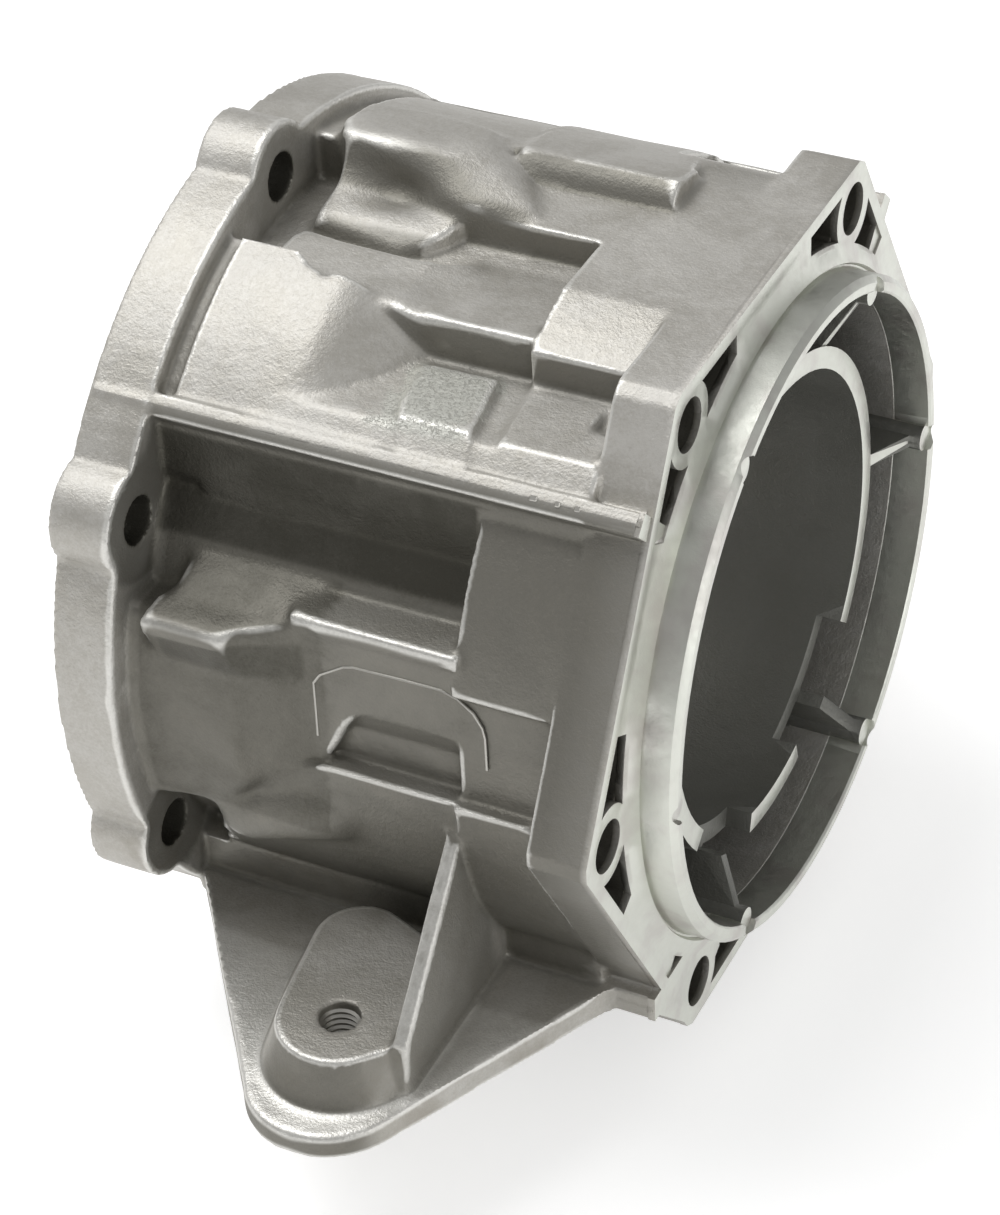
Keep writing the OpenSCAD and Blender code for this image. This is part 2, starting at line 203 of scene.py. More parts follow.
def away_from(points: np.ndarray, circle: float, angle: float) -> np.ndarray:
    """How far points lie from the axis of a hole on a circle round the shaft.

    Args:
        points: Positions in millimetres, n by 3.
        circle: The radius of the circle, in millimetres.
        angle: The hole's angle, in degrees from the top towards the near side.

    Returns:
        One distance for each point, in millimetres.
    """
    a = math.radians(angle)
    return np.hypot(points[:, 1] + circle * math.sin(a), points[:, 2] - circle * math.cos(a))


def write_share(obj: bpy.types.Object, name: str, values: np.ndarray) -> None:
    """Stores one number for each vertex as an attribute of the mesh."""
    layer = obj.data.attributes.new(name, "FLOAT", "POINT")
    layer.data.foreach_set("value", np.ascontiguousarray(values, np.float32))


def combine(
    body: bpy.types.Object, tool: bpy.types.Object, operation: str, solver: str = "EXACT",
) -> None:
    """Cuts or intersects a body with a tool, and deletes the tool.

    Args:
        body: The mesh object that stays.
        tool: The closed mesh object that cuts.
        operation: DIFFERENCE, INTERSECT or UNION.
        solver: The boolean solver.
    """
    apply(body, "BOOLEAN", object=tool, operation=operation, solver=solver)
    bpy.data.objects.remove(tool)


def carry_over(old_points: np.ndarray, values: np.ndarray, new_points: np.ndarray) -> np.ndarray:
    """Brings values from one set of points to another by the nearest point.

    Args:
        old_points: Positions that the values belong to, n by 3.
        values: One row for each old point.
        new_points: Positions that need values, m by 3.

    Returns:
        One row for each new point.
    """
    tree = KDTree(len(old_points))
    for index, point in enumerate(old_points.tolist()):
        tree.insert(point, index)
    tree.balance()
    nearest = [tree.find(point)[1] for point in new_points.tolist()]
    return values[nearest]


def join_all(pieces: list[bpy.types.Object], name: str) -> bpy.types.Object:
    """Joins mesh objects into the first one.

    Args:
        pieces: The objects, the one that stays first.
        name: The joined object's name.

    Returns:
        The joined object.
    """
    select_none()
    for piece in pieces:
        piece.select_set(True)
    bpy.context.view_layer.objects.active = pieces[0]
    if len(pieces) > 1:
        bpy.ops.object.join()
    pieces[0].name = name
    return pieces[0]


def finish_piece(obj: bpy.types.Object, material: bpy.types.Material, angle: float = 40.0) -> None:
    """Dresses a small piece of the casting and lets it ride on the housing.

    Args:
        obj: The mesh object.
        material: The casting's finish.
        angle: Up to which angle faces shade smoothly, in degrees.
    """
    obj.data.materials.clear()
    obj.data.materials.append(material)
    bake_place(obj)
    bpy.ops.object.shade_smooth_by_angle(angle=math.radians(angle))
    for name in ("shade", "wear_and_painted_light", "crease_shade", "pitted"):
        write_share(obj, name, np.zeros(len(obj.data.vertices)))
    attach(obj, "root")
    LOG.info("%s: %d faces", obj.name, len(obj.data.polygons))


class Sheet:
    """Builds a material's nodes with short calls."""

    def __init__(self, name: str) -> None:
        """Makes an empty material with one shader.

        Args:
            name: The material's name.
        """
        self.material = bpy.data.materials.new(name)
        self.material.use_nodes = True
        self.tree = self.material.node_tree
        self.shader = self.tree.nodes["Principled BSDF"]
        self.place = self.add("ShaderNodeTexCoord").outputs["Object"]

    def add(self, kind: str, **values: object) -> bpy.types.Node:
        """Adds a node and sets its plain properties.

        Args:
            kind: The node's type.
            values: Its properties by name.

        Returns:
            The node.
        """
        node = self.tree.nodes.new(kind)
        for name, value in values.items():
            setattr(node, name, value)
        return node

    def link(self, value: object, socket: bpy.types.NodeSocket) -> None:
        """Links a socket to an input, or sets the input to a plain value.

        Args:
            value: A socket, a number or a colour.
            socket: The input.
        """
        if isinstance(value, bpy.types.NodeSocket):
            self.tree.links.new(value, socket)
        else:
            socket.default_value = value

    def math(self, operation: str, a: object, b: object = 0.0) -> bpy.types.NodeSocket:
        """One math node.

        Args:
            operation: The node's operation.
            a: The first value or socket.
            b: The second value or socket.

        Returns:
            The node's output.
        """
        node = self.add("ShaderNodeMath", operation=operation)
        for value, socket in zip((a, b), node.inputs):
            self.link(value, socket)
        return node.outputs[0]

    def times(self, a: object, b: object) -> bpy.types.NodeSocket:
        """One value times another."""
        return self.math("MULTIPLY", a, b)

    def step(self, value: object, low: float, high: float) -> bpy.types.NodeSocket:
        """A soft step of a value.

        Args:
            value: The value or socket.
            low: Where the step is 0.
            high: Where the step is 1.

        Returns:
            The step, from 0 to 1.
        """
        node = self.add("ShaderNodeMapRange", interpolation_type="SMOOTHSTEP")
        self.link(value, node.inputs["Value"])
        node.inputs["From Min"].default_value = low
        node.inputs["From Max"].default_value = high
        return node.outputs["Result"]

    def scaled(
        self, value: object, low: float, high: float, to_low: float, to_high: float,
    ) -> bpy.types.NodeSocket:
        """A value mapped in a straight line from one range to another.

        Args:
            value: The value or socket.
            low: The start of its range.
            high: The end of its range.
            to_low: What the start becomes.
            to_high: What the end becomes.

        Returns:
            The mapped value, kept within the new range.
        """
        node = self.add("ShaderNodeMapRange")
        self.link(value, node.inputs["Value"])
        numbers = {"From Min": low, "From Max": high, "To Min": to_low, "To Max": to_high}
        for name, number in numbers.items():
            node.inputs[name].default_value = number
        return node.outputs["Result"]

    def noise(
        self, scale: float, detail: float = 2.0, rough: float = 0.5, warp: float = 0.0,
    ) -> bpy.types.NodeSocket:
        """A noise on the object's own coordinates.

        Args:
            scale: How fine it is.
            detail: How many finer layers it has.
            rough: How strong they are.
            warp: How much it is distorted.

        Returns:
            The noise, from 0 to 1.
        """
        node = self.add("ShaderNodeTexNoise")
        self.link(self.place, node.inputs["Vector"])
        numbers = {"Scale": scale, "Detail": detail, "Roughness": rough, "Distortion": warp}
        for name, number in numbers.items():
            node.inputs[name].default_value = number
        return node.outputs["Fac"]

    def share(self, name: str) -> bpy.types.NodeSocket:
        """A number that the mesh stores for each vertex."""
        return self.add("ShaderNodeAttribute", attribute_name=name).outputs["Fac"]

    def mix(self, share: object, a: object, b: object) -> bpy.types.NodeSocket:
        """A colour between two others.

        Args:
            share: How much of the second one there is.
            a: The first colour or socket.
            b: The second colour or socket.

        Returns:
            The mixed colour.
        """
        node = self.add("ShaderNodeMix", data_type="RGBA")
        for value, name in ((share, "Factor"), (a, "A"), (b, "B")):
            self.link(value, node.inputs[name])
        return node.outputs["Result"]


@dataclass(frozen=True)
class CastAluminium:
    """The finish of the whole casting.

    Grey cast skin, darker blotches low on the body, painted shade in hollows, holes, pockets, under
    the belly and on the shaded sides, wear and painted highlights on outer edges, painted light on
    the foot plate tops, bright machined faces, and a dark inside that is partly the cored skin's
    tone and partly painted shade.
    """

    skin: tuple[float, float, float] = (0.58, 0.565, 0.53)
    skin_dark: tuple[float, float, float] = (0.47, 0.452, 0.41)
    machined: tuple[float, float, float] = (0.66, 0.67, 0.615)
    # dark inside: partly the cored skin's own tone, partly painted shade
    inside: tuple[float, float, float] = (0.17, 0.172, 0.155)
    # painted shade: the colour of hollows, creases, pockets and the shaded sides
    painted_shade_tone: tuple[float, float, float] = (0.115, 0.109, 0.086)
    # painted shade: near black for the deepest pockets and holes
    deep: tuple[float, float, float] = (0.03, 0.028, 0.022)
    # wear and painted highlight on outer edges, painted light on the foot plate tops
    wear_and_light_tone: tuple[float, float, float] = (0.86, 0.85, 0.81)
    # darker blotches low on the body
    low_blotch_tone: tuple[float, float, float] = (0.27, 0.235, 0.185)
    pit: tuple[float, float, float] = (0.20, 0.185, 0.16)
    skin_roughness: float = 0.48
    skin_metal: float = 0.62
    machined_roughness: float = 0.40
    patch_scale: float = 55.0
    blot_scale: float = 38.0
    bright_scale: float = 90.0
    pebble_scale: float = 420.0
    fine_scale: float = 620.0
    pit_scale: float = 1300.0
    grain_scale: float = 1700.0
    grain_height: float = 0.00011
    ring_inner: float = RING_INNER

    def material(self) -> bpy.types.Material:
        """The material.

        Returns:
            A procedural material on object coordinates and the casting's own shares.
        """
        s = Sheet("cast_aluminium")
        axes = s.add("ShaderNodeSeparateXYZ")
        s.link(s.place, axes.inputs[0])
        x, y, z = axes.outputs
        normal = s.add("ShaderNodeSeparateXYZ")
        s.link(s.add("ShaderNodeTexCoord").outputs["Normal"], normal.inputs[0])
        facing_x, facing_z = normal.outputs[0], normal.outputs[2]
        radius = s.math("SQRT", s.math("ADD", s.times(y, y), s.times(z, z)))

        # machined: flange face, pilot ring, tube end and front face
        on_face = s.times(s.step(facing_x, 0.80, 0.92), s.step(x, -0.9 * MM, -0.5 * MM))
        past_ring = s.step(radius, self.ring_inner - 0.3 * MM, self.ring_inner)
        on_ring = s.times(s.step(x, 0.2 * MM, 0.5 * MM), past_ring)
        on_front = s.times(s.step(facing_x, -0.90, -0.97), s.step(x, -117.4 * MM, -117.8 * MM))
        machined = s.math("MAXIMUM", s.math("MAXIMUM", on_face, on_ring), on_front)

        # inside of the tube, the space round it and the front chamber
        within = s.step(radius, self.ring_inner + 0.1 * MM, self.ring_inner - 0.3 * MM)
        inside = s.times(within, s.math("SUBTRACT", 1.0, machined))

        # colour of the skin: broad soft patches, finer ones and speckle
        patches = s.noise(self.patch_scale, 4.0, 0.6, 0.6)
        fine = s.noise(self.fine_scale, 3.0, 0.6)
        speckle = s.noise(self.grain_scale, 2.0, 0.7)
        tone = s.math("ADD", s.times(patches, 0.50), s.times(fine, 0.22))
        tone = s.math("ADD", tone, s.times(speckle, 0.28))
        skin = s.mix(s.step(tone, 0.38, 0.62), (*self.skin_dark, 1), (*self.skin, 1))

        # darker blotches low on the body, painted shade in hollows, pockets, holes and on the
        # shaded sides, and the dark inside
        # darker blotches low on the body, on faces that don't face up
        upright = s.step(facing_z, 0.6, 0.2)
        blots = s.step(s.noise(self.blot_scale, 3.0, 0.6, 1.0), 0.50, 0.72)
        low = s.times(s.step(z, 0.02, -0.07), blots)
        skin = s.mix(s.times(s.times(low, upright), 0.45), skin, (*self.low_blotch_tone, 1))
        # painted shade: the shade share darkens hollows, pockets, holes, undersides and the sides
        # that face away from the lamps
        hollow = s.times(s.share("shade"), s.scaled(tone, 0.3, 0.7, 0.80, 1.14))
        skin = s.mix(hollow, skin, (*self.painted_shade_tone, 1))
        # painted shade: near black where the shade share is highest, in the deepest pockets and
        # holes
        deepest_painted_shade = s.times(s.step(s.share("shade"), 0.80, 1.0), 0.62)
        skin = s.mix(deepest_painted_shade, skin, (*self.deep, 1))
        # darker inside the tube: partly the cored skin's own tone, partly painted shade
        skin = s.mix(s.times(inside, 0.88), skin, (*self.inside, 1))

        # pitted patch where the metal met the cold die
        pits = s.step(s.noise(self.pit_scale, 3.0, 0.7, 0.3), 0.50, 0.62)
        pitted = s.times(s.share("pitted"), pits)
        skin = s.mix(s.times(s.share("pitted"), 0.65), skin, (*self.machined, 1))
        skin = s.mix(s.times(pitted, 0.25), skin, (*self.pit, 1))

        # painted shade in hollow corners; wear and painted highlight on outer edges, and painted
        # light on the foot plate tops
        crease_shade = s.times(s.share("crease_shade"), s.scaled(tone, 0.35, 0.65, 0.35, 0.62))
        skin = s.mix(crease_shade, skin, (*self.painted_shade_tone, 1))
        wear_and_painted_light = s.step(s.share("wear_and_painted_light"), 0.30, 0.95)
        wear_and_painted_light = s.times(wear_and_painted_light, s.scaled(tone, 0.35, 0.65, 0.45, 0.85))
        skin = s.mix(wear_and_painted_light, skin, (*self.wear_and_light_tone, 1))
        streaks = s.step(s.noise(self.bright_scale, 3.0), 0.45, 0.7)
        bright = s.mix(streaks, (*self.machined, 1), (*self.skin, 1))
        s.link(s.mix(machined, skin, bright), s.shader.inputs["Base Color"])

        # roughness
        smoothest, roughest = self.skin_roughness - 0.05, self.skin_roughness + 0.07
        rough = s.scaled(patches, 0.3, 0.7, smoothest, roughest)
        smoothest, roughest = self.machined_roughness - 0.05, self.machined_roughness + 0.07
        rough_machined = s.scaled(fine, 0.3, 0.7, smoothest, roughest)
        rough = s.math("SUBTRACT", rough, s.times(wear_and_painted_light, 0.14))
        mixed = s.add("ShaderNodeMix", data_type="FLOAT")
        for value, name in ((machined, "Factor"), (rough, "A"), (rough_machined, "B")):
            s.link(value, mixed.inputs[name])
        s.link(mixed.outputs["Result"], s.shader.inputs["Roughness"])

        # metal: full on machined faces, less on the matte cast skin
        s.link(s.scaled(machined, 0, 1, self.skin_metal, 1.0), s.shader.inputs["Metallic"])

        # grain of the cast skin, faint on machined faces
        grain = s.math("ADD", speckle, s.times(s.noise(self.pebble_scale, 3.0, 0.6), 1.5))
        grain = s.math("SUBTRACT", grain, s.times(pitted, 0.9))
        height = s.times(grain, s.math("SUBTRACT", 1.0, s.times(machined, 0.75)))
        bump = s.add("ShaderNodeBump")
        bump.inputs["Distance"].default_value = self.grain_height
        bump.inputs["Strength"].default_value = 1.0
        s.link(height, bump.inputs["Height"])
        s.link(bump.outputs[0], s.shader.inputs["Normal"])
        return s.material


@dataclass(frozen=True)
class SoftZone:
    """A box of the casting whose forms flow into each other, in millimetres."""

    low: tuple[float, float, float]
    high: tuple[float, float, float]
    reach: float
    fade: float = 3.0

    def weights(self, points: np.ndarray) -> np.ndarray:
        """How much each point lies in the box.

        Args:
            points: Positions in metres, n by 3.

        Returns:
            One share for each point, from 0 to 1.
        """
        share = np.ones(len(points))
        for k in range(3):
            value = points[:, k] / MM
            share *= smooth_step(self.low[k] - self.fade, self.low[k], value)
            share *= smooth_step(self.high[k] + self.fade, self.high[k], value)
        return share


@dataclass(frozen=True)
class Swell:
    """A soft rise or hollow of the skin, in millimetres."""

    centre: tuple[float, float, float]
    reach: tuple[float, float, float]
    height: float

    def lift(self, points: np.ndarray) -> np.ndarray:
        """How far each point moves along its normal, in metres."""
        away = (points / MM - np.array(self.centre)) / np.array(self.reach)
        return self.height * MM * np.exp(-np.einsum("ij,ij->i", away, away))


@dataclass
class Casting:
    """The housing itself, one casting, in three pieces: two halves of skin and the rear end."""

    node: str = "housing"
    voxel: float = 0.6 * MM
    quick_voxel: float = 1.1 * MM
    merge_gap: float = 0.002 * MM
    fillet_reach: float = 1.05
    most_triangles: int = 184000
    block_radius: float = 130.0 * MM
    block_length: float = 14.0 * MM
    crisp_from: float = -1.6 * MM
    crisp_core_from: float = -9.0 * MM
    crisp_core_radius: float = 69.0 * MM
    crisp_bevel: float = 0.28 * MM
    bevel_gap: float = 0.35 * MM
    sharp_angle: float = 35.0
    ring_inner: float = RING_INNER
    ring_end: float = 8.75 * MM
    pin_radius: float = 3.1 * MM
    pin_depth: float = 1.3 * MM
    waves: int = 14
    wave_height: float = 0.05
    wave_share: float = 0.38
    wave_length: float = 9.0
    wave_spread: float = 1.9
    wave_turn: float = 2.399963
    zones: tuple[SoftZone, ...] = (
        SoftZone((-100, -15, 72), (-52, 24, 92), 1.7),
        SoftZone((-84, -60, 58), (-58, -28, 92), 1.8),
        SoftZone((-104, -92, 4), (-66, -60, 38), 2.0),
        SoftZone((-98, -92, -36), (-54, -60, -7), 3.0),
        SoftZone((-104, -92, -26), (-72, -60, 6), 2.2),
        SoftZone((-78, -128, -62), (-34, -64, -50), 1.6),
    )
    swells: tuple[Swell, ...] = (
        Swell((-82.0, 0.5, 80.5), (9.0, 4.2, 5.0), -3.2),
        Swell((-86.0, 8.0, 86.0), (12.0, 3.5, 4.0), 0.7),
        Swell((-84.0, -76.0, 29.5), (9.0, 4.5, 4.0), -1.1),
        Swell((-96.0, -57.5, 45.5), (6.0, 4.0, 4.0), 0.7),
        Swell((-80.0, -60.0, 42.0), (9.0, 3.0, 3.0), 0.6),
        Swell((-60.0, -58.0, 45.0), (8.0, 3.5, 3.5), -0.5),
        Swell((-92.0, -79.5, -6.0), (7.0, 6.0, 6.0), -0.5),
        Swell((-66.0, -22.0, 76.5), (9.0, 6.0, 6.0), -0.5),
    )
    finish: CastAluminium = field(default_factory=CastAluminium)

    def build(self) -> bpy.types.Object:
        """Makes the casting from the CAD node's shape.

        Returns:
            The upper half of the skin.
        """
        rear = self.rear_end()
        body = self.copy_of_node("casting")
        apply(body, "REMESH", mode="VOXEL", voxel_size=self.spacing() * MM, use_smooth_shade=True)
        LOG.info("casting: %d faces after the skin is closed", len(body.data.polygons))
        self.soften(body)
        self.shape_skin(body)
        old_points, bent = points_of(body), self.bend_of(body)
        combine(body, self.rear_block(), "DIFFERENCE", "MANIFOLD")
        upper, lower = self.halves(body)
        material = self.finish.material()
        for half in (upper, lower):
            self.thin_out(half)
            self.dress(half, carry_over(old_points, bent, points_of(half)), material, 50)
        self.dress(rear, np.zeros(len(rear.data.vertices)), material, 25)
        for piece in (upper, lower, rear):
            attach(piece, "root")
            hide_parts(self.node)
            LOG.info("%s: %d faces", piece.name, len(piece.data.polygons))
        return upper

    def halves(self, body: bpy.types.Object) -> list[bpy.types.Object]:
        """Parts the skin along the upper near and lower far ribs, where flash hides the joint.

        Args:
            body: The whole skin.

        Returns:
            The upper far half and the lower near half.
        """
        other = add_object("casting_lower", body.data.copy())
        body.name = "casting_upper"
        tilt = math.radians(45)
        for half, kept in ((body, 1), (other, -1)):
            select_only(half)
            bpy.ops.object.mode_set(mode="EDIT")
            bpy.ops.mesh.select_all(action="SELECT")
            bpy.ops.mesh.bisect(
                plane_co=(0, 0, 0), plane_no=(0, kept * math.cos(tilt), kept * math.sin(tilt)),
                clear_inner=True, threshold=0.00001,
            )
            bpy.ops.object.mode_set(mode="OBJECT")
        return [body, other]

    def dress(
        self, piece: bpy.types.Object, bend: np.ndarray, material: bpy.types.Material, angle: float,
    ) -> None:
        """Gives a piece its shares and its material.

        Args:
            piece: The mesh object.
            bend: Its bend at each vertex, in millimetres.
            material: The casting's finish.
            angle: Up to which angle faces shade smoothly, in degrees.
        """
        points, normals = points_of(piece), normals_of(piece)
        # wear and painted highlight on outer edges, painted light on the foot plate tops
        wear_and_painted_light = np.maximum(smooth_step(0.05, 0.34, -bend), self.foot_top_light_of(points, normals))
        # painted shade in hollows, pockets, holes, under the belly and on the shaded sides
        write_share(piece, "shade", self.shade_of(points, normals))
        write_share(piece, "wear_and_painted_light", wear_and_painted_light)
        # painted shade in hollow corners
        write_share(piece, "crease_shade", smooth_step(0.04, 0.40, bend))
        write_share(piece, "pitted", self.pitted_of(points))
        piece.data.materials.clear()
        piece.data.materials.append(material)
        select_only(piece)
        bpy.ops.object.shade_smooth_by_angle(angle=math.radians(angle))

    def spacing(self) -> float:
        """The spacing of the skin's vertices, in millimetres."""
        return (self.voxel) / MM

    def rounds(self, reach: float) -> int:
        """How many smoothing rounds round a corner by a reach in millimetres."""
        return max(2, round(4 * (reach / self.spacing()) ** 2))

    def copy_of_node(self, name: str) -> bpy.types.Object:
        """Makes a merged copy of the CAD node's mesh.

        Args:
            name: The copy's name.

        Returns:
            The new object.
        """
        body = add_object(name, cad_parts[self.node].data.copy())
        select_only(body)
        bpy.ops.object.mode_set(mode="EDIT")
        bpy.ops.mesh.select_all(action="SELECT")
        bpy.ops.mesh.remove_doubles(threshold=self.merge_gap)
        bpy.ops.object.mode_set(mode="OBJECT")
        return body

    def rear_block(self) -> bpy.types.Object:
        """Makes a stepped disc that holds all that stays crisp at the rear end.

        Returns:
            The closed disc.
        """
        select_none()
        bpy.ops.mesh.primitive_cylinder_add(
            vertices=96, radius=self.block_radius, depth=self.block_length,
            location=(self.crisp_from + self.block_length / 2, 0, 0),
            rotation=(0, math.radians(90), 0),
        )
        block = bpy.context.object
        bake_place(block)
        clear_mesh_selection()
        for face in block.data.polygons:
            face.select = face.normal.x < -0.9
        bpy.ops.object.mode_set(mode="EDIT")
        bpy.ops.mesh.inset(thickness=self.block_radius - self.crisp_core_radius)
        step = self.crisp_core_from - self.crisp_from
        bpy.ops.mesh.extrude_region_move(TRANSFORM_OT_translate={"value": (step, 0, 0)})
        bpy.ops.object.mode_set(mode="OBJECT")
        return block

    def rear_end(self) -> bpy.types.Object:
        """Makes the machined rear end: the CAD shape, small bevels and the ejector marks.

        Returns:
            The rear end.
        """
        rear = self.copy_of_node("rear_end")
        combine(rear, self.rear_block(), "INTERSECT")
        for corner in CORNER_ANGLES:
            angle = math.radians(corner)
            across, up = -math.sin(angle) * self.ring_inner, math.cos(angle) * self.ring_inner
            select_none()
            bpy.ops.mesh.primitive_cylinder_add(
                vertices=24, radius=self.pin_radius, depth=2 * self.pin_depth,
                location=(self.ring_end, across, up), rotation=(0, math.radians(90), 0),
            )
            pin = bpy.context.object
            bake_place(pin)
            combine(rear, pin, "DIFFERENCE")
        self.bevel_rear(rear)
        return rear

    def bevel_rear(self, rear: bpy.types.Object) -> None:
        """Bevels the sharp outer edges of the rear end, but not where it meets the cast skin.

        Args:
            rear: The rear end.
        """
        points = points_of(rear)
        radius = np.hypot(points[:, 1], points[:, 2])
        cut = np.where(radius > self.crisp_core_radius, self.crisp_from, self.crisp_core_from)
        free = points[:, 0] > cut + self.bevel_gap
        mesh = rear.data
        faces_of: dict[tuple[int, int], list[int]] = {}
        for polygon in mesh.polygons:
            for key in polygon.edge_keys:
                faces_of.setdefault(key, []).append(polygon.index)
        least_turn = math.cos(math.radians(self.sharp_angle))
        for edge in mesh.edges:
            a, b = edge.vertices
            beside = faces_of.get((min(a, b), max(a, b)), [])
            sharp = False
            if len(beside) == 2 and free[a] and free[b]:
                first, second = (mesh.polygons[k] for k in beside)
                out = (second.center - first.center).dot(first.normal) < 0
                sharp = out and first.normal.dot(second.normal) < least_turn
            edge.select = sharp
        for vertex in mesh.vertices:
            vertex.select = False
        for polygon in mesh.polygons:
            polygon.select = False
        select_only(rear)
        bpy.context.tool_settings.mesh_select_mode = (False, True, False)
        bpy.ops.object.mode_set(mode="EDIT")
        bpy.ops.mesh.bevel(
            offset=self.crisp_bevel, segments=2, affect="EDGES", clamp_overlap=True,
        )
        bpy.ops.object.mode_set(mode="OBJECT")

    def kept_share(self, points: np.ndarray) -> np.ndarray:
        """How much each point belongs to a machined face or a bored hole.

        Args:
            points: Positions in metres, n by 3.

        Returns:
            One share for each point, from 0 to 1.
        """
        spots = points / MM
        x, y, z = spots.T
        radius = np.hypot(y, z)
        rear = smooth_step(-13.0, -9.5, x) * (radius > 60)
        rear = rear + smooth_step(-12.5, -10.5, x) * (radius < 60)
        front = smooth_step(-115.5, -117.0, x)
        holes = np.zeros(len(points))
        for angle in EAR_ANGLES:
            away = away_from(spots, EAR_CIRCLE, angle)
            holes = np.maximum(holes, smooth_step(7.0, 5.8, away) * (x < -103))
        for side in (-1, 1):
            away = np.hypot(x - FOOT_HOLE[0], y - side * FOOT_HOLE[1])
            holes = np.maximum(holes, smooth_step(6.2, 5.0, away) * (z < -44))
        return np.clip(rear + front + holes, 0, 1)

    def soften(self, body: bpy.types.Object) -> None:
        """Rounds the cast corners: hollow ones more than outer ones, machined edges hardly.

        Args:
            body: The whole skin.
        """
        points = points_of(body)
        lean = neighbour_mean(body, points) - points
        for _ in range(3):
            lean = neighbour_mean(body, lean)
        hollow = np.einsum("ij,ij->i", lean, normals_of(body))
        spread = np.abs(hollow).max() * 0.02
        wish = 0.30 + 0.70 * smooth_step(-spread, spread, hollow)
        kept = self.kept_share(points)
        add_group(body, "soft", wish * (1 - kept))
        add_group(body, "kept", kept)
        rounds = self.rounds(self.fillet_reach)
        apply(body, "SMOOTH", factor=0.5, iterations=rounds, vertex_group="soft")
        apply(body, "SMOOTH", factor=0.5, iterations=1, vertex_group="kept")
        for k, zone in enumerate(self.zones):
            name, rounds = f"zone_{k}", self.rounds(zone.reach)
            add_group(body, name, zone.weights(points) * (1 - kept))
            apply(body, "SMOOTH", factor=0.5, iterations=rounds, vertex_group=name)
        body.vertex_groups.clear()

    def shape_skin(self, body: bpy.types.Object) -> None:
        """Adds the soft rises and hollows, and the faint waves of an as-cast skin.

        Args:
            body: The whole skin.
        """
        points = points_of(body)
        lift = np.zeros(len(points))
        for swell in self.swells:
            lift += swell.lift(points)
        for k in range(self.waves):
            turn = self.wave_turn * k
            tilt = math.acos(1 - 2 * (k + 0.5) / self.waves)
            flat = math.sin(tilt)
            way = np.array([math.cos(turn) * flat, math.sin(turn) * flat, math.cos(tilt)])
            length = self.wave_length + self.wave_spread * (k * 5 % self.waves)
            wave = np.sin(points @ way / MM * (2 * math.pi / length) + 1.7 * k)
            lift += self.wave_height * MM * self.wave_share * wave
        lift *= 1 - self.kept_share(points)
        set_points(body, points + normals_of(body) * lift[:, None])

    def bend_of(self, body: bpy.types.Object) -> np.ndarray:
        """How far each point lies under its smoothed surroundings.

        Args:
            body: The whole skin.

        Returns:
            One number for each point in millimetres: corners in plus, edges in minus.
        """
        points = points_of(body)
        mean = points
        for _ in range(max(3, round((1.5 / self.spacing()) ** 2 * 2))):
            mean = neighbour_mean(body, mean)
        bend = np.einsum("ij,ij->i", mean - points, normals_of(body)) / MM
        return bend * (1 - self.kept_share(points))

    def thin_out(self, body: bpy.types.Object) -> None:
        """Decimates a mesh that has more triangles than most_triangles down to that number.
        Brings a mesh under the most triangles that one piece may have.

        Args:
            body: The mesh object.
        """
        mesh = body.data
        mesh.calc_loop_triangles()
        triangles = len(mesh.loop_triangles)
        if triangles > self.most_triangles:
            apply(body, "DECIMATE", ratio=self.most_triangles / triangles)

    def shade_of(self, points: np.ndarray, normals: np.ndarray) -> np.ndarray:
        """How much painted shade darkens the casting at each point.

        Args:
            points: Positions in metres, n by 3.
            normals: Normals, n by 3.

        Returns:
            One share for each point, from 0 to 1.
        """
        spots = points / MM
        y, z = spots[:, 1], spots[:, 2]
        radius = np.hypot(y, z)
        outward = (normals[:, 1] * y + normals[:, 2] * z) / np.maximum(radius, 1)
        share = self.side_shade(spots, normals)
        share = np.maximum(share, self.foot_shade(spots, normals))
        share = np.maximum(share, self.hump_shade(spots))
        share = np.maximum(share, self.upper_shade(spots, normals))
        share *= smooth_step(-0.6, -0.2, outward) * smooth_step(64, 67, radius)
        return np.clip(np.maximum(share, self.hole_shade(spots)), 0, 1)

    def side_shade(self, spots: np.ndarray, normals: np.ndarray) -> np.ndarray:
        """Painted shade on the near and far sides, in the recesses and pockets and under the belly,
        between rim and flange.

        Args:
            spots: Positions in millimetres, n by 3.
            normals: Normals, n by 3.

        Returns:
            One share for each point.
        """
        x, y, z = spots.T
        radius = np.hypot(y, z)
        angle = np.degrees(np.arctan2(np.abs(y), z))
        between = smooth_step(-105.2, -103.5, x) * smooth_step(-0.5, -1.0, x)
        side = smooth_step(0.35, 0.75, np.abs(normals[:, 1]))
        below = smooth_step(43, 47, angle)
        flange = smooth_step(-14.5, -13.0, x) * smooth_step(10, -50, z)
        share = 0.78 * side * between * below * (1 - 0.55 * flange)
        ground = 0.60 * between * below * smooth_step(86, 82, radius) * smooth_step(120, 112, angle)
        pocket = smooth_step(45, 48, angle) * smooth_step(68, 61, angle)
        pocket = pocket * smooth_step(85.5, 83, radius)
        pocket = pocket * smooth_step(-32, -36, x) * smooth_step(-106, -104, x)
        belly = smooth_step(-0.1, -0.6, normals[:, 2]) * between * smooth_step(88, 84, radius)
        return np.max([share, ground, pocket, 0.8 * belly], axis=0)

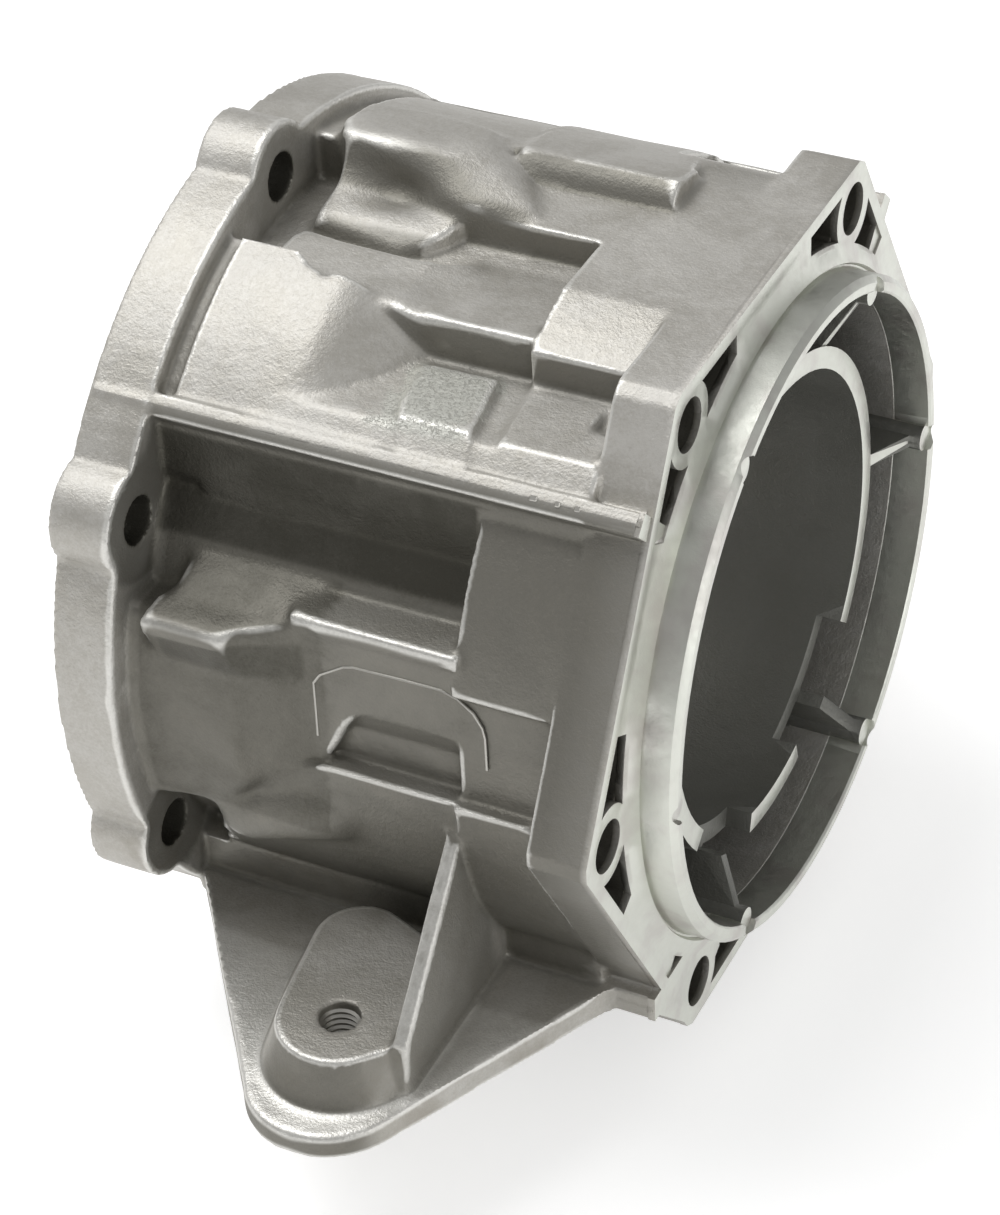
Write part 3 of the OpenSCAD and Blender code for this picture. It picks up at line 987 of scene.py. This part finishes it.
    def foot_shade(self, spots: np.ndarray, normals: np.ndarray) -> np.ndarray:
        """Painted shade on the webs of the feet and on top of their bosses.

        Args:
            spots: Positions in millimetres, n by 3.
            normals: Normals, n by 3.

        Returns:
            One share for each point.
        """
        x, y, z = spots.T
        web = smooth_step(0.4, 0.8, np.abs(normals[:, 0]))
        web = web * smooth_step(-10, -16, z) * smooth_step(-57.5, -56.0, z)
        web = 0.55 * web * smooth_step(66, 70, np.abs(y)) * (x > -62) * (x < -16)
        top = smooth_step(0.7, 0.9, normals[:, 2]) * smooth_step(-47.5, -46.6, z)
        return np.maximum(web, 0.42 * (top * (z < -40) * (np.abs(y) > 80)))

    def hump_shade(self, spots: np.ndarray) -> np.ndarray:
        """Painted shade round the hump of the near side and in its lee.

        Args:
            spots: Positions in millimetres, n by 3.

        Returns:
            One share for each point.
        """
        x, y, z = spots.T
        skin = smooth_step(87, 86, np.hypot(y, z))
        hump = smooth_step(-104, -102, x) * smooth_step(-60, -63, x)
        hump = hump * smooth_step(42, 38, z) * smooth_step(-26, -20, z)
        lee = smooth_step(-102, -95, x) * smooth_step(-58, -68, x)
        lee = lee * smooth_step(30, 23, z) * smooth_step(5, 17, z)
        hump = 0.86 * hump * smooth_step(-58, -61, y) * skin
        return np.maximum(hump, 0.92 * lee * smooth_step(-60, -66, y) * skin)

    def upper_shade(self, spots: np.ndarray, normals: np.ndarray) -> np.ndarray:
        """Painted shade on the slopes of the upper side that lean to the near side.

        Args:
            spots: Positions in millimetres, n by 3.
            normals: Normals, n by 3.

        Returns:
            One share for each point.
        """
        x, y, z = spots.T
        steep = y / np.maximum(np.hypot(y, z), 1) - normals[:, 1]
        steep = steep * smooth_step(0.5, 0.3, normals[:, 0])
        upper = smooth_step(54, 57, z) * smooth_step(-104.5, -103.0, x) * smooth_step(-13, -15, x)
        return 0.72 * smooth_step(0.18, 0.55, steep) * upper

    def hole_shade(self, spots: np.ndarray) -> np.ndarray:
        """Painted shade in the bolt holes, in the room behind each ear, and in the flange's cored
        pockets.

        Args:
            spots: Positions in millimetres, n by 3.

        Returns:
            One share for each point.
        """
        x, y, z = spots.T
        share = np.zeros(len(spots))
        for angle in EAR_ANGLES:
            away = away_from(spots, EAR_CIRCLE, angle)
            in_hole = smooth_step(5.6, 5.1, away) * (x < -104)
            room = smooth_step(14.0, 12.5, away)
            room = room * smooth_step(-105.4, -104.6, x) * smooth_step(-92, -96, x)
            strength = 1 - 0.6 * (angle == TOP_EAR_ANGLE)
            share = np.max([share, in_hole, 0.75 * room * strength], axis=0)
        for angle in CORNER_ANGLES:
            away = away_from(spots, FLANGE_CIRCLE, angle)
            in_hole = 0.95 * smooth_step(6.0, 5.6, away) * (x > -16) * smooth_step(0.0, -0.6, x)
            share = np.maximum(share, in_hole)
        pockets = (x > -12.6) * smooth_step(-0.2, -1.2, x) * (np.hypot(y, z) > 74.5)
        sides = [math.radians(a) for a in (0, 60, 120)]
        edge = np.max([np.abs(y * math.sin(a) + z * math.cos(a)) for a in sides], axis=0)
        return np.maximum(share, 0.9 * pockets * smooth_step(78.9, 78.2, edge))

    def foot_top_light_of(self, points: np.ndarray, normals: np.ndarray) -> np.ndarray:
        """How much painted light brightens the skin at each point: the upper faces of the foot
        plates.

        Args:
            points: Positions in metres, n by 3.
            normals: Normals, n by 3.

        Returns:
            One share for each point, from 0 to 1.
        """
        x, y, z = (points / MM).T
        flat = smooth_step(0.7, 0.92, normals[:, 2])
        flat = flat * smooth_step(-64, -62, z) * smooth_step(-54.5, -55.5, z)
        return flat * smooth_step(74, 82, np.abs(y)) * (x < -10)

    def pitted_of(self, points: np.ndarray) -> np.ndarray:
        """How pitted the skin is: one patch on the deep floor of the upper side.

        Args:
            points: Positions in metres, n by 3.

        Returns:
            One share for each point, from 0 to 1.
        """
        x, y, z = (points / MM).T
        ragged = 1.2 * np.sin(1.1 * x + 0.7 * y) + 0.8 * np.sin(2.3 * y - 0.9 * x)
        share = smooth_step(-60.5, -58.5, x + ragged) * smooth_step(-39.5, -41.5, x + ragged)
        share *= smooth_step(-57.5, -55.5, y) * smooth_step(-34, -36.5, y + ragged)
        return share * smooth_step(72.0, 70.5, z) * smooth_step(54, 57, z)


@dataclass
class Flash:
    """The thin ragged flash that the die leaves along the four parting ribs, and its chips."""

    radius: float = 87.35 * MM
    height: float = 0.75 * MM
    width: float = 0.42 * MM
    start: float = -103.5 * MM
    end: float = -1.9 * MM
    cuts: int = 119
    chips: tuple[tuple[float, float, float], ...] = (
        (-22.5, 1.6, 1.1), (-17.5, 1.1, 1.4), (-13.5, 1.3, 0.9),
    )
    chip_width: float = 1.1 * MM
    chip_bevel: float = 0.18 * MM
    chip_turn: float = 4.0

    def build(self) -> bpy.types.Object:
        """Makes the flash.

        Returns:
            The finished object.
        """
        strips = [self.strip(k) for k in range(4)]
        strips += [self.chip(x * MM, length * MM, height * MM) for x, length, height in self.chips]
        for strip in strips:
            bake_place(strip)
        flash = join_all(strips, "flash")
        finish_piece(flash, bpy.data.materials["cast_aluminium"])
        return flash

    def strip(self, k: int) -> bpy.types.Object:
        """One strip of flash.

        Args:
            k: Which of the four ribs, counted from the upper near one.

        Returns:
            The strip, turned to its rib.
        """
        select_none()
        length = self.end - self.start
        size = (length, self.width, self.height)
        bpy.ops.mesh.primitive_cube_add(size=1, location=(0, 0, 0), scale=size)
        strip = bpy.context.object
        bake_place(strip)
        clear_mesh_selection()
        for edge in strip.data.edges:
            a, b = (strip.data.vertices[v].co for v in edge.vertices)
            edge.select = abs(a.x - b.x) > length / 2
        bpy.ops.object.mode_set(mode="EDIT")
        bpy.ops.mesh.subdivide(number_cuts=self.cuts)
        bpy.ops.object.mode_set(mode="OBJECT")
        points = points_of(strip)
        top = points[:, 2] > 0
        along = points[:, 0] / MM
        rag = 0.5 + 0.28 * np.sin(along * 0.9 + k) + 0.22 * np.sin(along * 2.7 + 2 * k)
        rag = rag + 0.2 * np.sin(along * 0.23 + k)
        points[top, 2] *= 0.25 + 1.1 * np.clip(rag[top], 0, 1)
        points[top, 1] *= 0.5
        points[:, 0] += (self.start + self.end) / 2
        points[:, 2] += self.radius
        set_points(strip, points)
        strip.rotation_euler = (math.radians(45 + 90 * k), 0, 0)
        return strip

    def chip(self, place: float, length: float, height: float) -> bpy.types.Object:
        """One broken chip of the gate, standing on the upper near rib.

        Args:
            place: Where it stands along the shaft.
            length: Its length along the rib.
            height: Its height.

        Returns:
            The chip.
        """
        select_none()
        tilt = math.radians(45)
        bpy.ops.mesh.primitive_cube_add(
            size=1, location=(place, -math.sin(tilt) * self.radius, math.cos(tilt) * self.radius),
            rotation=(tilt, 0, math.radians(self.chip_turn)),
            scale=(length, self.chip_width, height),
        )
        chip = bpy.context.object
        bake_place(chip)
        bpy.ops.object.mode_set(mode="EDIT")
        bpy.ops.mesh.subdivide(number_cuts=2)
        bpy.ops.mesh.bevel(offset=self.chip_bevel, segments=1, affect="EDGES")
        bpy.ops.object.mode_set(mode="OBJECT")
        return chip


@dataclass
class PlateOutline:
    """The thin outline of the bare number plate on the near panel."""

    depth: float = -75.95 * MM
    line: float = 0.30 * MM
    corners: tuple[tuple[float, float], ...] = (
        (-65.4, 1.8), (-65.3, 8.0), (-65.2, 15.2), (-63.6, 17.6), (-58.2, 21.2),
        (-56.0, 21.8), (-46.0, 22.0), (-37.2, 22.1), (-33.6, 21.0), (-30.4, 18.4),
        (-28.6, 15.4), (-28.1, 13.0), (-28.1, 5.1),
    )

    def build(self) -> bpy.types.Object:
        """Makes the outline.

        Returns:
            The finished object.
        """
        select_none()
        bpy.ops.mesh.primitive_circle_add(vertices=len(self.corners), radius=10 * MM)
        line = bpy.context.object
        bake_place(line)
        set_points(line, np.array([(x * MM, self.depth, z * MM) for x, z in self.corners]))
        last = len(self.corners) - 1
        clear_mesh_selection()
        for edge in line.data.edges:
            edge.select = set(edge.vertices) == {0, last}
        bpy.ops.object.mode_set(mode="EDIT")
        bpy.ops.mesh.delete(type="EDGE_FACE")
        bpy.ops.object.mode_set(mode="OBJECT")
        bpy.ops.object.convert(target="CURVE")
        line.data.bevel_depth = self.line
        line.data.bevel_resolution = 2
        line.data.use_fill_caps = True
        bpy.ops.object.convert(target="MESH")
        line = bpy.context.object
        line.name = "plate_outline"
        finish_piece(line, bpy.data.materials["cast_aluminium"])
        return line


@dataclass
class FootThread:
    """The threads cut in the holes of the two mounting feet."""

    place: tuple[float, float] = FOOT_HOLE
    radius: float = 4.32 * MM
    tooth: float = 0.62 * MM
    bite: float = 0.1 * MM
    pitch: float = 1.5 * MM
    low: float = -62.4 * MM
    turns: int = 10
    steps: int = 36

    def build(self) -> bpy.types.Object:
        """Makes both threads.

        Returns:
            The finished object.
        """
        threads = [self.thread(side) for side in (-1, 1)]
        for thread in threads:
            bake_place(thread)
        piece = join_all(threads, "foot_threads")
        finish_piece(piece, bpy.data.materials["cast_aluminium"], 30)
        return piece

    def thread(self, side: int) -> bpy.types.Object:
        """One thread, screwed up from a small tooth.

        Args:
            side: -1 for the near foot, 1 for the far one.

        Returns:
            The thread at its place.
        """
        select_none()
        bpy.ops.mesh.primitive_circle_add(
            vertices=3, radius=self.tooth, rotation=(math.radians(90), 0, 0),
        )
        thread = bpy.context.object
        bake_place(thread)
        tooth, root = self.tooth, self.radius + self.bite
        corners = [(self.radius - tooth, 0, 0), (root, 0, tooth), (root, 0, -tooth)]
        set_points(thread, np.array(corners))
        apply(
            thread, "SCREW", axis="Z", screw_offset=self.pitch, iterations=self.turns,
            steps=self.steps, render_steps=self.steps,
        )
        bpy.ops.object.mode_set(mode="EDIT")
        bpy.ops.mesh.select_all(action="DESELECT")
        bpy.ops.mesh.select_mode(type="EDGE")
        bpy.ops.mesh.select_non_manifold()
        bpy.ops.mesh.edge_face_add()
        bpy.ops.mesh.select_all(action="SELECT")
        bpy.ops.mesh.normals_make_consistent(inside=False)
        bpy.ops.object.mode_set(mode="OBJECT")
        thread.location = (self.place[0] * MM, side * self.place[1] * MM, self.low)
        return thread


@dataclass
class Studio:
    """Camera, floor and soft light."""

    camera_place: tuple[float, float, float] = (0.2292272, -0.5510838, 0.4625197)
    camera_turn: tuple[float, float, float] = (52.22314, 2.57922, 25.99349)
    lens: float = 108.8475
    near_clip: float = 0.01
    far_clip: float = 20.0
    floor_height: float = -93.2 * MM
    floor_size: float = 6.0
    floor_grey: float = 0.82
    floor_glow: float = 0.55
    world_strength: float = 0.40

    def build(self) -> None:
        """Sets the whole studio up."""
        self.add_camera()
        self.add_floor()
        self.add_world()
        self.add_lamp("lamp_top", (-0.66, -0.02, 1.28), (-0.04, 0.0, 0.0), (1.0, 1.1), 12.2)
        self.add_lamp("lamp_front", (1.5, -0.5, 0.45), (0.0, 0.0, 0.0), (1.0, 1.0), 5.0)
        self.set_view()

    def add_camera(self) -> None:
        """Puts the camera at the photograph's viewing angle."""
        data = bpy.data.cameras.new("camera")
        data.lens = self.lens
        data.sensor_width = 36.0
        data.clip_start = self.near_clip
        data.clip_end = self.far_clip
        camera = add_object("camera", data)
        camera.location = self.camera_place
        camera.rotation_euler = Euler([math.radians(a) for a in self.camera_turn], "XYZ")
        bpy.context.scene.camera = camera

    def add_floor(self) -> None:
        """Lays the pale floor."""
        select_none()
        bpy.ops.mesh.primitive_plane_add(size=self.floor_size, location=(0, 0, self.floor_height))
        floor = bpy.context.object
        floor.name = "floor"
        bake_place(floor)
        s = Sheet("floor")
        grey = self.floor_grey
        s.shader.inputs["Base Color"].default_value = (grey, grey, grey, 1)
        s.shader.inputs["Roughness"].default_value = 0.9
        path = s.add("ShaderNodeLightPath")
        seen = s.math("MAXIMUM", path.outputs["Is Camera Ray"], path.outputs["Is Glossy Ray"])
        seen = s.math("MAXIMUM", seen, path.outputs["Is Transmission Ray"])
        glow = s.add("ShaderNodeEmission")
        s.link(s.times(seen, self.floor_glow), glow.inputs["Strength"])
        both = s.add("ShaderNodeAddShader")
        s.link(s.shader.outputs[0], both.inputs[0])
        s.link(glow.outputs[0], both.inputs[1])
        s.link(both.outputs[0], s.tree.nodes["Material Output"].inputs["Surface"])
        floor.data.materials.append(s.material)

    def add_world(self) -> None:
        """Plain pale surroundings, white to the camera."""
        world = bpy.data.worlds.new("world")
        bpy.context.scene.world = world
        world.use_nodes = True
        tree = world.node_tree
        plain = tree.nodes["Background"]
        plain.inputs["Color"].default_value = (1, 1, 1, 1)
        plain.inputs["Strength"].default_value = self.world_strength
        white = tree.nodes.new("ShaderNodeBackground")
        white.inputs["Color"].default_value = (1, 1, 1, 1)
        white.inputs["Strength"].default_value = 1.0
        path = tree.nodes.new("ShaderNodeLightPath")
        mix = tree.nodes.new("ShaderNodeMixShader")
        tree.links.new(path.outputs["Is Camera Ray"], mix.inputs[0])
        tree.links.new(plain.outputs[0], mix.inputs[1])
        tree.links.new(white.outputs[0], mix.inputs[2])
        tree.links.new(mix.outputs[0], tree.nodes["World Output"].inputs["Surface"])

    def add_lamp(
        self,
        name: str,
        place: tuple[float, float, float],
        target: tuple[float, float, float],
        size: tuple[float, float],
        power: float,
    ) -> None:
        """Hangs one soft rectangular lamp.

        Args:
            name: The lamp's name.
            place: Where it hangs.
            target: What it points at.
            size: Its two sides.
            power: Its power in watts.
        """
        data = bpy.data.lights.new(name, "AREA")
        data.shape = "RECTANGLE"
        data.size, data.size_y = size
        data.energy = power
        lamp = add_object(name, data)
        lamp.location = place
        lamp.rotation_mode = "QUATERNION"
        lamp.rotation_quaternion = (Vector(target) - Vector(place)).to_track_quat("-Z", "Y")

    def set_view(self) -> None:
        """Plain view settings."""
        bpy.context.scene.view_settings.view_transform = "Standard"


def main() -> None:
    """Builds the studio and the casting."""
    logging.basicConfig(level=logging.INFO, format="%(name)s: %(message)s")
    Studio().build()
    Casting().build()
    Flash().build()
    PlateOutline().build()
    FootThread().build()


if __name__ == "__main__":
    main()
